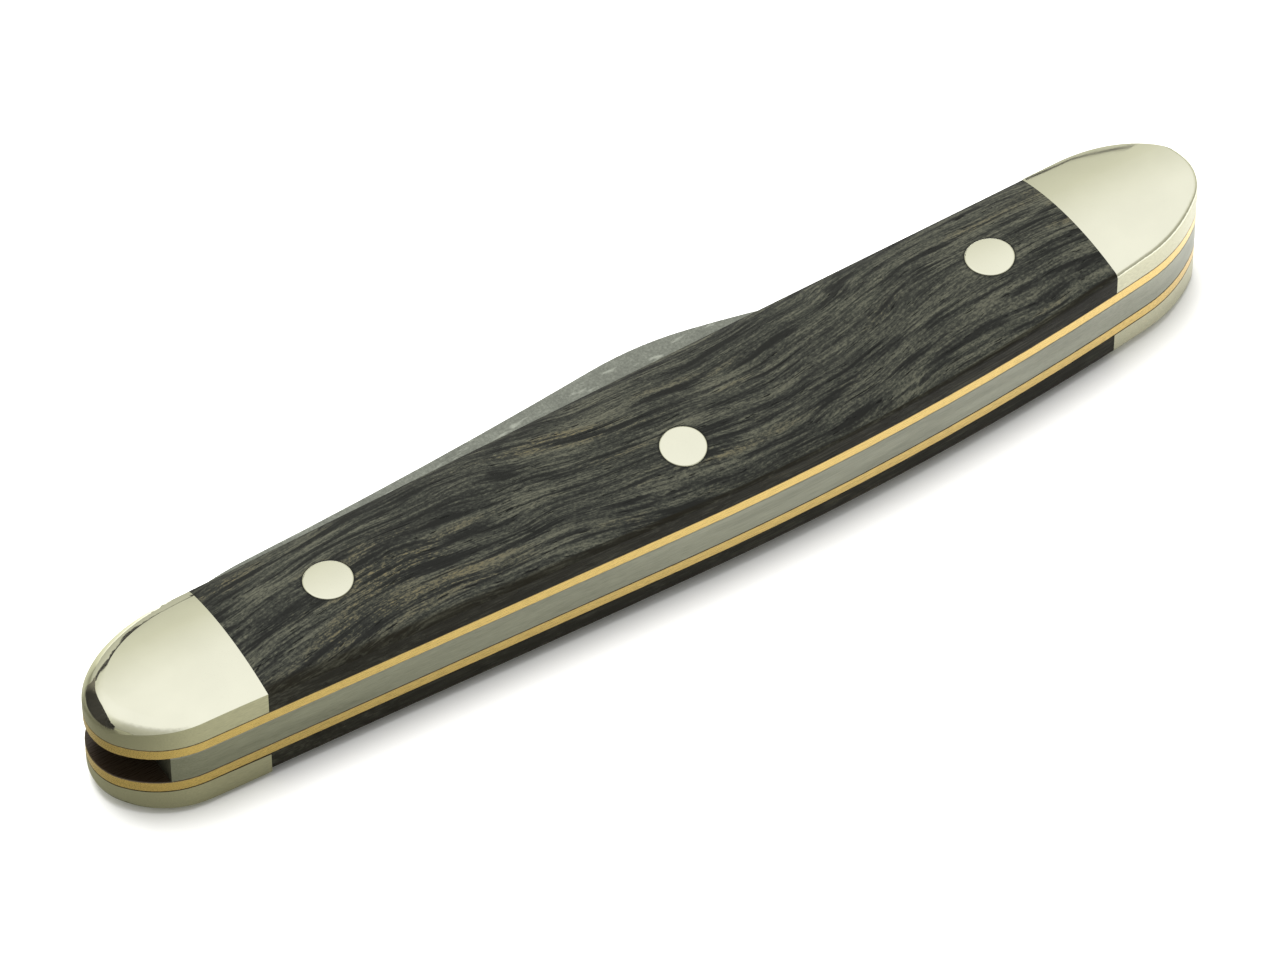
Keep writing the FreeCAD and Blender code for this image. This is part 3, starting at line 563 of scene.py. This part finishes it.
def brass(settings, node):
    """Brass sheet, drawn lengthwise, dark along both of its faces' edges."""
    metal = Finish(f"brass_{node}")
    place = metal.place()
    lines = metal.noise(place, *BRASS_LINES)
    low, high = (corner.z * PER_MM for corner in map(Vector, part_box(node)))
    reach = settings.seam * PER_MM
    edge = (high - low) / 2.0
    off_middle = metal.math("SUBTRACT", metal.split(place)[2], (low + high) / 2.0)
    seam = metal.remap(metal.math("ABSOLUTE", off_middle), edge - reach, edge - reach * SEAM_FULL_SHARE)
    return metal.surface(
        Base_Color=metal.blend(seam, metal.shades(lines, settings.brass, BRASS_SHADES), settings.seam_and_reflection),
        Metallic=metal.remap(seam, 0.0, 1.0, 1.0, SEAM_METALLIC),
        Roughness=metal.spread(lines, *BRASS_ROUGHNESS),
        Normal=metal.bump(lines, *BRASS_RELIEF))


def spring_steel(settings):
    """Steel brushed along its length, a little uneven."""
    metal = Finish("spring_steel_brushed")
    place = metal.place()
    lines = metal.noise(place, *SPRING_LINES)
    cloud = metal.spread(metal.noise(place, *SPRING_CLOUDS), -SPRING_CLOUD_SHARE, SPRING_CLOUD_SHARE)
    return metal.surface(
        Base_Color=metal.shades(metal.math("ADD", lines, cloud), settings.spring, SPRING_SHADES),
        Metallic=1.0,
        Roughness=metal.spread(lines, *SPRING_ROUGHNESS),
        Anisotropic=SPRING_ANISOTROPY,
        Normal=metal.bump(lines, *SPRING_RELIEF))


def blade_steel(settings):
    """Tumbled flats with bright specks, and bevels with fine lines across the blade."""
    metal = Finish("blade_steel_ground")
    place = metal.place()
    upright = metal.facing()[1]
    flat = metal.remap(upright, *FLAT_UPRIGHT)
    grind = metal.noise(place, *BLADE_GRIND)
    speck = metal.noise(place, *BLADE_SPECKS)
    cloud = metal.spread(metal.noise(place, *BLADE_CLOUDS), -BLADE_CLOUD_SHARE, BLADE_CLOUD_SHARE)
    chip = metal.remap(metal.noise(place, *BLADE_CHIPS), *CHIP_RANGE)
    mottled = metal.shades(metal.math("ADD", speck, cloud), settings.blade, FLAT_SHADES)
    tumbled = metal.blend(chip, mottled, shaded(settings.blade, CHIP_SHADE))
    bevel = metal.shades(grind, settings.blade, BEVEL_SHADES)
    flat_speck = metal.math("MULTIPLY", speck, flat)
    height = metal.math("ADD", flat_speck, metal.math("MULTIPLY", grind, GRIND_DEPTH_SHARE))
    return metal.surface(
        Base_Color=metal.blend(flat, bevel, tumbled),
        Metallic=1.0,
        Roughness=metal.remap(flat_speck, *BLADE_ROUGH_SPECKS, *BLADE_ROUGHNESS),
        Normal=metal.bump(height, *BLADE_RELIEF))


# Stage.

def floor_paint(settings):
    """White floor that the knife's faces mirror greyer, a painted shade darkest past the pivot end."""
    paint = Finish("pale_floor")
    place = paint.place()
    speckle = paint.spread(paint.noise(place, *FLOOR_SPECKLE))
    white = paint.blend(speckle, settings.floor, shaded(settings.floor, FLOOR_SPECKLE_SHADE))
    start, end = REFLECTED_SHADE_MM[0][0], REFLECTED_SHADE_MM[-1][0]
    # Painted shade, seen only in reflections: greyer, darkest past the pivot end.
    reflected_shade = paint.ramp(paint.remap(paint.split(place)[0], start, end), [
        ((x - start) / (end - start), tinted(settings.floor, level, blue)) for x, level, blue in REFLECTED_SHADE_MM
    ])
    mirrored = paint.add("ShaderNodeLightPath").outputs["Is Glossy Ray"]
    return paint.surface(
        Base_Color=paint.blend(mirrored, white, reflected_shade), Roughness=MATT_ROUGHNESS, Specular_IOR_Level=0.0)


def make_floor(settings):
    half = settings.floor_size / 2.0
    mesh = bpy.data.meshes.new("studio_floor")
    corners = [(x, y, 0.0) for x, y in ((-half, -half), (half, -half), (half, half), (-half, half))]
    mesh.from_pydata(corners, [], [range(len(corners))])
    mesh.materials.append(floor_paint(settings))
    floor = bpy.data.objects.new("studio_floor", mesh)
    bpy.context.scene.collection.objects.link(floor)


def make_tent(settings):
    """White tent round the knife: bright overhead, dim towards the floor, pale to the camera."""
    world = bpy.data.worlds.new("studio_tent")
    world.use_nodes = True
    tent = Graph(world.node_tree)
    way = tent.split(tent.add("ShaderNodeTexCoord").outputs["Generated"])
    ray = tent.add("ShaderNodeLightPath").outputs
    glow = tent.ramp(way[2], [(height, tinted(WHITE, level, blue)) for height, level, blue in TENT_STOPS])
    front = tent.remap(way[1], *TENT_FRONT_RANGE, TENT_FRONT_LEVEL, 1.0)
    dimmed = tent.blend(ray["Is Diffuse Ray"], glow, front, "MULTIPLY")
    background = tent.nodes["Background"]
    tent.feed(background, "Color", tent.blend(ray["Is Camera Ray"], dimmed, TENT_TO_CAMERA))
    tent.feed(background, "Strength", settings.tent)
    bpy.context.scene.world = world


def make_light(settings):
    """Square soft box that shines on the knife from above, out of its reflections."""
    data = bpy.data.lights.new("overhead_light", "AREA")
    data.size = LIGHT_SIZE
    data.energy = settings.light
    light = bpy.data.objects.new("overhead_light", data)
    light.location = LIGHT_PLACE
    light.rotation_euler = Vector(LIGHT_PLACE).to_track_quat("Z", "Y").to_euler()
    light.visible_camera = False
    light.visible_glossy = False
    bpy.context.scene.collection.objects.link(light)


def card_paint(name, fade_mm):
    """Nearly black paint, which may fade to grey over a stretch along Y."""
    paint = Finish(f"dark_{name}")
    if not fade_mm:
        return paint.surface(Base_Color=(*CARD_DARK, 1.0), Roughness=MATT_ROUGHNESS)
    share = paint.remap(paint.split(paint.place())[1], *fade_mm)
    return paint.surface(Base_Color=paint.blend(share, CARD_DARK, CARD_GREY), Roughness=MATT_ROUGHNESS)


def make_card(name, foot, top, fade_mm=None):
    """Dark card between two rails of points, which shows only in the mirror of the knife's faces."""
    count = len(foot)
    mesh = bpy.data.meshes.new(name)
    mesh.from_pydata(foot + top, [], [(i, i + 1, count + i + 1, count + i) for i in range(count - 1)])
    mesh.materials.append(card_paint(name, fade_mm))
    card = bpy.data.objects.new(name, mesh)
    card.visible_camera = False
    card.visible_diffuse = False
    card.visible_shadow = False
    bpy.context.scene.collection.objects.link(card)


def toward(turn, height):
    """Direction at a turn from +X and a height above the horizon, both in degrees."""
    turn, height = math.radians(turn), math.radians(height)
    return Vector((math.cos(height) * math.cos(turn), math.cos(height) * math.sin(turn), math.sin(height)))


def make_line_cards():
    """Far cards that draw a thin line along the front bolsters' blade side."""
    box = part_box("upper_front_bolster")
    middle = middle_of(box)
    middle.z = box[1][2]
    for name, edges in LINE_CARDS.items():
        foot = [middle + toward(turn, lower) * CARD_DISTANCE_MM * MM for turn, lower, upper in edges]
        top = [middle + toward(turn, upper) * CARD_DISTANCE_MM * MM for turn, lower, upper in edges]
        make_card(name, foot, top)


def make_nose_card():
    """Small card close to the nose, which darkens it."""
    pivot = middle_of(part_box("pivot_pin"))
    pivot.z = 0.0
    foot, top = [], []
    for turn, lower, upper in NOSE_CARD_MM:
        place = pivot + toward(turn, 0.0) * NOSE_CARD_RADIUS_MM * MM
        foot.append(place + UP * lower * MM)
        top.append(place + UP * upper * MM)
    make_card("nose_card", foot, top, NOSE_FADE_MM)


def make_rear_strip():
    """Thin strip that draws a line along the rear bolster's blade side."""
    foot, top = (
        [Vector((x, STRIP_BACK_MM, z + side * REAR_STRIP_HALF_MM)) * MM for x, z in REAR_STRIP_MM]
        for side in (-1, 1))
    make_card("rear_strip", foot, top)


def make_camera(settings):
    """Stand the camera where the photograph was taken from."""
    azimuth, elevation, roll = settings.azimuth, settings.elevation, settings.roll
    level = Vector((math.cos(azimuth), math.sin(azimuth), 0.0))
    back = Vector((math.sin(azimuth) * math.cos(elevation),
                   -math.cos(azimuth) * math.cos(elevation),
                   math.sin(elevation)))
    above = back.cross(level)
    right = level * math.cos(roll) + above * math.sin(roll)
    up = above * math.cos(roll) - level * math.sin(roll)
    middle = UP * middle_of(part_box("backspring")).z
    place = middle + back * settings.distance + right * settings.right + up * settings.up

    data = bpy.data.cameras.new("studio_camera")
    data.sensor_fit = "HORIZONTAL"
    data.sensor_width = SENSOR_WIDTH_MM
    focal_pixels = settings.pixels_per_mm * settings.distance * PER_MM
    data.lens = focal_pixels * SENSOR_WIDTH_MM / PHOTO_WIDTH
    data.clip_end = CAMERA_REACH
    camera = bpy.data.objects.new("studio_camera", data)
    bpy.context.scene.collection.objects.link(camera)
    turn = Matrix((right, up, back)).transposed().to_4x4()
    camera.matrix_world = Matrix.Translation(place) @ turn
    bpy.context.scene.camera = camera


# Operators.

def dress(nodes, material):
    """Give CAD nodes their finish."""
    for name in nodes:
        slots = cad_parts[name].material_slots
        if not slots:
            raise RuntimeError(f"{name} has no material slot")
        for slot in slots:
            slot.material = material


class KNIFE_OT_scales(bpy.types.Operator):
    """Finish the two wood scales"""

    bl_idname = "knife.scales"
    bl_label = "Wood Scales"

    def execute(self, context):
        dress(SCALES, dark_wood(context.scene.knife_wood))
        return {"FINISHED"}


class KNIFE_OT_bolsters(bpy.types.Operator):
    """Finish the four nickel silver bolsters"""

    bl_idname = "knife.bolsters"
    bl_label = "Bolsters"

    def execute(self, context):
        dress(BOLSTERS, nickel_silver(context.scene.knife_metal, "nickel_silver_bolster", True))
        return {"FINISHED"}


class KNIFE_OT_pins(bpy.types.Operator):
    """Finish the rivets and pins"""

    bl_idname = "knife.pins"
    bl_label = "Pins"

    def execute(self, context):
        dress(HEADED_PINS + HIDDEN_PINS, nickel_silver(context.scene.knife_metal, "nickel_silver_pin", False))
        return {"FINISHED"}


class KNIFE_OT_liners(bpy.types.Operator):
    """Finish the two brass liners"""

    bl_idname = "knife.liners"
    bl_label = "Brass Liners"

    def execute(self, context):
        for name in LINERS:
            dress([name], brass(context.scene.knife_metal, name))
        return {"FINISHED"}


class KNIFE_OT_spring(bpy.types.Operator):
    """Finish the backspring"""

    bl_idname = "knife.spring"
    bl_label = "Backspring"

    def execute(self, context):
        dress(["backspring"], spring_steel(context.scene.knife_metal))
        return {"FINISHED"}


class KNIFE_OT_blade(bpy.types.Operator):
    """Finish the blade"""

    bl_idname = "knife.blade"
    bl_label = "Blade"

    def execute(self, context):
        dress(["blade"], blade_steel(context.scene.knife_metal))
        return {"FINISHED"}


class KNIFE_OT_stage(bpy.types.Operator):
    """Set the floor, the light, the cards and the camera"""

    bl_idname = "knife.stage"
    bl_label = "Studio"

    def execute(self, context):
        settings = context.scene.knife_studio
        context.scene.view_settings.view_transform = "Standard"
        make_floor(settings)
        make_tent(settings)
        make_light(settings)
        make_line_cards()
        make_nose_card()
        make_rear_strip()
        make_camera(settings)
        return {"FINISHED"}


STEPS = (
    KNIFE_OT_scales,
    KNIFE_OT_bolsters,
    KNIFE_OT_pins,
    KNIFE_OT_liners,
    KNIFE_OT_spring,
    KNIFE_OT_blade,
    KNIFE_OT_stage,
)


class KNIFE_PT_panel(bpy.types.Panel):
    """Sidebar list of the knife's finishing steps"""

    bl_idname = "KNIFE_PT_panel"
    bl_label = "Pocket Knife"
    bl_space_type = "VIEW_3D"
    bl_region_type = "UI"
    bl_category = "Pocket Knife"

    def draw(self, context):
        for step in STEPS:
            self.layout.operator(step.bl_idname)


SETTINGS = {
    "knife_wood": WoodSettings,
    "knife_metal": MetalSettings,
    "knife_studio": StudioSettings,
}
CLASSES = (*SETTINGS.values(), *STEPS, KNIFE_PT_panel)


def register():
    for item in CLASSES:
        bpy.utils.register_class(item)
    for name, group in SETTINGS.items():
        setattr(bpy.types.Scene, name, PointerProperty(type=group))


def unregister():
    for name in SETTINGS:
        delattr(bpy.types.Scene, name)
    for item in reversed(CLASSES):
        bpy.utils.unregister_class(item)


def main():
    register()
    bpy.ops.knife.scales()
    bpy.ops.knife.bolsters()
    bpy.ops.knife.pins()
    bpy.ops.knife.liners()
    bpy.ops.knife.spring()
    bpy.ops.knife.blade()
    bpy.ops.knife.stage()


if __name__ == "__main__":
    main()
